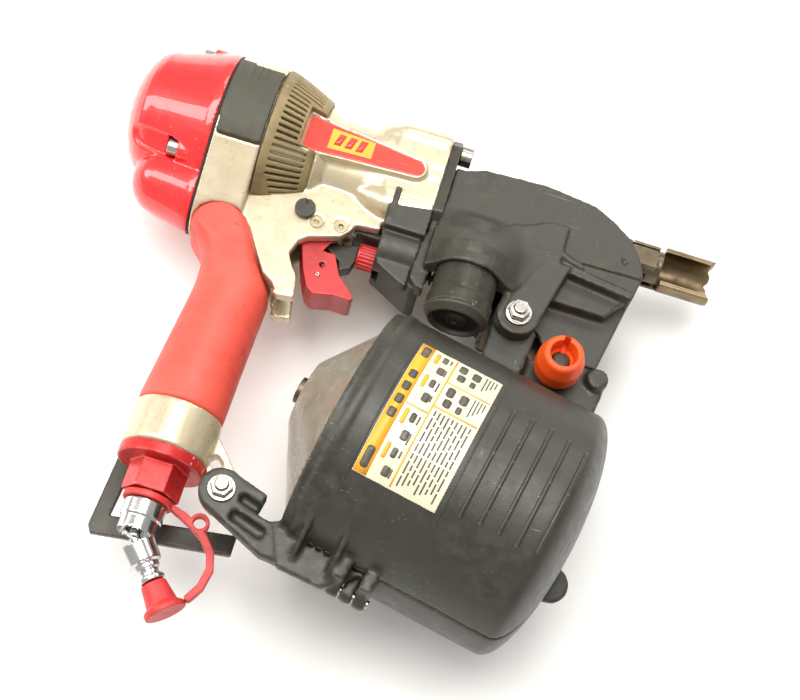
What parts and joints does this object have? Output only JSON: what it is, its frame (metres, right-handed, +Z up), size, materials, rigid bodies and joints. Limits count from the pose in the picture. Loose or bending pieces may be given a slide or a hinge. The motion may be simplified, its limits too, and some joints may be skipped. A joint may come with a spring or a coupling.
{
  "type": "pneumatic coil nailer",
  "caption": "Pneumatic coil nail gun with a cast body, rubber grip, side trigger group, feeder, coil canister magazine and contact nose, lying on its side.",
  "frame": {"origin": "centre of the bounding box in plan, on the floor that the tool lies on", "axes": "+X along the driver axis towards the nose, +Z up from the floor, +Y from the handle towards the driver axis"},
  "size_m": [0.303, 0.2839, 0.1279],
  "materials": {
    "red_enamel": "gloss",
    "gold_paint": "satin",
    "bronze_plastic": "satin",
    "grip_rubber": "matte",
    "black_rubber": "matte",
    "black_plastic": "satin",
    "red_plastic": "gloss",
    "red_soft": "satin",
    "red_anodised": "satin",
    "orange_rubber": "matte",
    "smoke_window": "clear, scuffed",
    "chrome_plug": "polished",
    "zinc_steel": "satin",
    "dark_steel": "oiled",
    "spring_steel": "bright",
    "cast_aluminium": "machined",
    "seal_rubber": "matte",
    "label_film": "satin",
    "black_metal": "satin"
  },
  "bodies": {
    "tool": {"head_cap": "red_enamel", "cap_bolts": "zinc_steel", "cap_gasket": "seal_rubber", "head_valve_spring": "spring_steel", "cylinder_sleeve": "cast_aluminium", "sleeve_seals": "seal_rubber", "bumper": "seal_rubber", "housing": "gold_paint", "side_pads": "black_rubber", "exhaust_cover": "bronze_plastic", "nameplate": "red_plastic", "front_plate": "black_metal", "front_plate_bolts": "zinc_steel", "rubber_grip": "grip_rubber", "inlet_fitting": "red_anodised", "hook_screw": "zinc_steel", "trigger_pin": "zinc_steel", "trigger_valve_body": "black_plastic", "trigger_valve_spring": "spring_steel", "keeper_screw": "zinc_steel", "contact_spring": "spring_steel", "arm_guide": "black_plastic", "nose_body": "dark_steel", "nose_sleeve": "dark_steel", "nose_cover": "black_plastic", "door_pin": "zinc_steel", "feeder_cylinder": "black_metal", "feeder_cap": "black_plastic", "feed_spring": "spring_steel", "magazine_body": "black_plastic", "cover_hinge_pin": "zinc_steel", "magazine_window": "smoke_window", "platform_post": "zinc_steel", "instruction_label": "label_film", "magazine_bolts": "zinc_steel"},
    "drive": {"piston": "cast_aluminium", "driver_blade": "dark_steel"},
    "head_valve": {"head_valve": "black_plastic"},
    "air_plug": {"air_plug": "chrome_plug", "cap_strap": "red_soft"},
    "dust_cap": {"dust_cap": "red_soft"},
    "belt_hook": {"belt_hook": "black_metal"},
    "trigger": {"trigger": "red_plastic", "trigger_lever": "zinc_steel", "lever_rivet": "zinc_steel"},
    "valve_stem": {"trigger_valve_stem": "zinc_steel"},
    "mode_knob": {"mode_knob": "black_plastic"},
    "contact_arm": {"contact_arm": "black_metal"},
    "depth_dial": {"depth_dial": "red_plastic"},
    "contact_foot": {"contact_foot": "dark_steel"},
    "nose_door": {"nose_door": "dark_steel"},
    "door_latch": {"door_latch": "dark_steel"},
    "feed_piston": {"feed_piston": "cast_aluminium"},
    "feed_pawl": {"feed_pawl": "dark_steel"},
    "magazine_cover": {"magazine_cover": "black_plastic"},
    "window_knob": {"window_knob": "dark_steel"},
    "nail_platform": {"nail_platform": "black_plastic"},
    "nose_tip_cap": {"nose_tip_cap": "orange_rubber"}
  },
  "joints": [
    {"name": "piston_stroke", "type": "slide", "parent": "tool", "child": "drive", "axis": [1, 0, 0], "range_m": [0, 0.0835]},
    {"name": "head_valve_lift", "type": "slide", "parent": "tool", "child": "head_valve", "axis": [-1, 0, 0], "range_m": [0, 0.0045], "stiffness_N_per_m": 600, "springref_m": -0.004, "deforming": ["head_valve_spring"]},
    {"name": "plug_swivel", "type": "hinge", "parent": "tool", "child": "air_plug", "pos_m": [-0.076, -0.08588, 0.07109], "axis": [0, 0.9878, -0.1557], "range_deg": [0, 30]},
    {"name": "dust_cap_pull", "type": "slide", "parent": "air_plug", "child": "dust_cap", "axis": [0.6561, -0.7455, 0.1175], "range_m": [0, 0.014], "deforming": ["cap_strap"]},
    {"name": "hook_swivel", "type": "hinge", "parent": "tool", "child": "belt_hook", "pos_m": [-0.076, -0.06342, 0.04021], "axis": [0, 0.1557, 0.9878], "range_deg": [-90, 40]},
    {"name": "trigger_pivot", "type": "hinge", "parent": "tool", "child": "trigger", "pos_m": [-0.0325, 0.06377, 0.0475], "axis": [0, -0.1557, -0.9878], "range_deg": [0, 10], "stiffness_Nm_per_rad": 0.8, "springref_deg": -6.88},
    {"name": "valve_stem_lift", "type": "slide", "parent": "tool", "child": "valve_stem", "axis": [0, 0.9878, -0.1557], "range_m": [0, 0.0019], "deforming": ["trigger_valve_spring"]},
    {"name": "mode_turn", "type": "hinge", "parent": "tool", "child": "mode_knob", "pos_m": [-0.0515, 0.06624, 0.04711], "axis": [0, 0.1557, 0.9878], "range_deg": [0, 90]},
    {"name": "contact_travel", "type": "slide", "parent": "tool", "child": "contact_arm", "axis": [-1, 0, 0], "range_m": [0, 0.008], "stiffness_N_per_m": 500, "springref_m": -0.006, "deforming": ["contact_spring"]},
    {"name": "dial_turn", "type": "hinge", "parent": "contact_arm", "child": "depth_dial", "pos_m": [-0.0165, 0.05883, 0.04827], "axis": [1, 0, 0], "range_deg": [-360, 360]},
    {"name": "foot_depth", "type": "slide", "parent": "contact_arm", "child": "contact_foot", "axis": [1, 0, 0], "range_m": [-0.0015, 0.0015]},
    {"name": "feed_stroke", "type": "slide", "parent": "tool", "child": "feed_piston", "axis": [0, -0.9878, 0.1557], "range_m": [0, 0.012], "stiffness_N_per_m": 700, "springref_m": -0.008, "deforming": ["feed_spring"]},
    {"name": "pawl_tilt", "type": "hinge", "parent": "feed_piston", "child": "feed_pawl", "pos_m": [0.0705, 0.07977, 0.05267], "axis": [1, 0, 0], "range_deg": [0, 12], "stiffness_Nm_per_rad": 0.05, "springref_deg": -17.19},
    {"name": "door_swing", "type": "hinge", "parent": "tool", "child": "nose_door", "pos_m": [0.0475, 0.06089, 0.03884], "axis": [0, 0.9878, -0.1557], "range_deg": [0, 100]},
    {"name": "latch_turn", "type": "hinge", "parent": "nose_door", "child": "door_latch", "pos_m": [0.0955, 0.06073, 0.03785], "axis": [0, 0.1557, 0.9878], "range_deg": [0, 40]},
    {"name": "cover_swing", "type": "hinge", "parent": "tool", "child": "magazine_cover", "pos_m": [0.01034, -0.10166, 0.07763], "axis": [-0.9799, 0.1969, -0.031], "range_deg": [0, 100]},
    {"name": "window_knob_turn", "type": "hinge", "parent": "tool", "child": "window_knob", "pos_m": [-0.02624, -0.01731, 0.06028], "axis": [0.9799, -0.1969, 0.031], "range_deg": [0, 90]},
    {"name": "platform_set", "type": "slide", "parent": "tool", "child": "nail_platform", "axis": [-0.9799, 0.1969, -0.031], "range_m": [-0.015, 0.03]},
    {"name": "tip_pull", "type": "slide", "parent": "tool", "child": "nose_tip_cap", "axis": [0, 0.1557, 0.9878], "range_m": [0, 0.018]}
  ],
  "couplings": [
    {"joint": "valve_stem_lift", "follows": "trigger_pivot", "m_per_rad": 0.0105},
    {"joint": "dial_turn", "follows": "foot_depth", "rad_per_m": 4188.8}
  ]
}
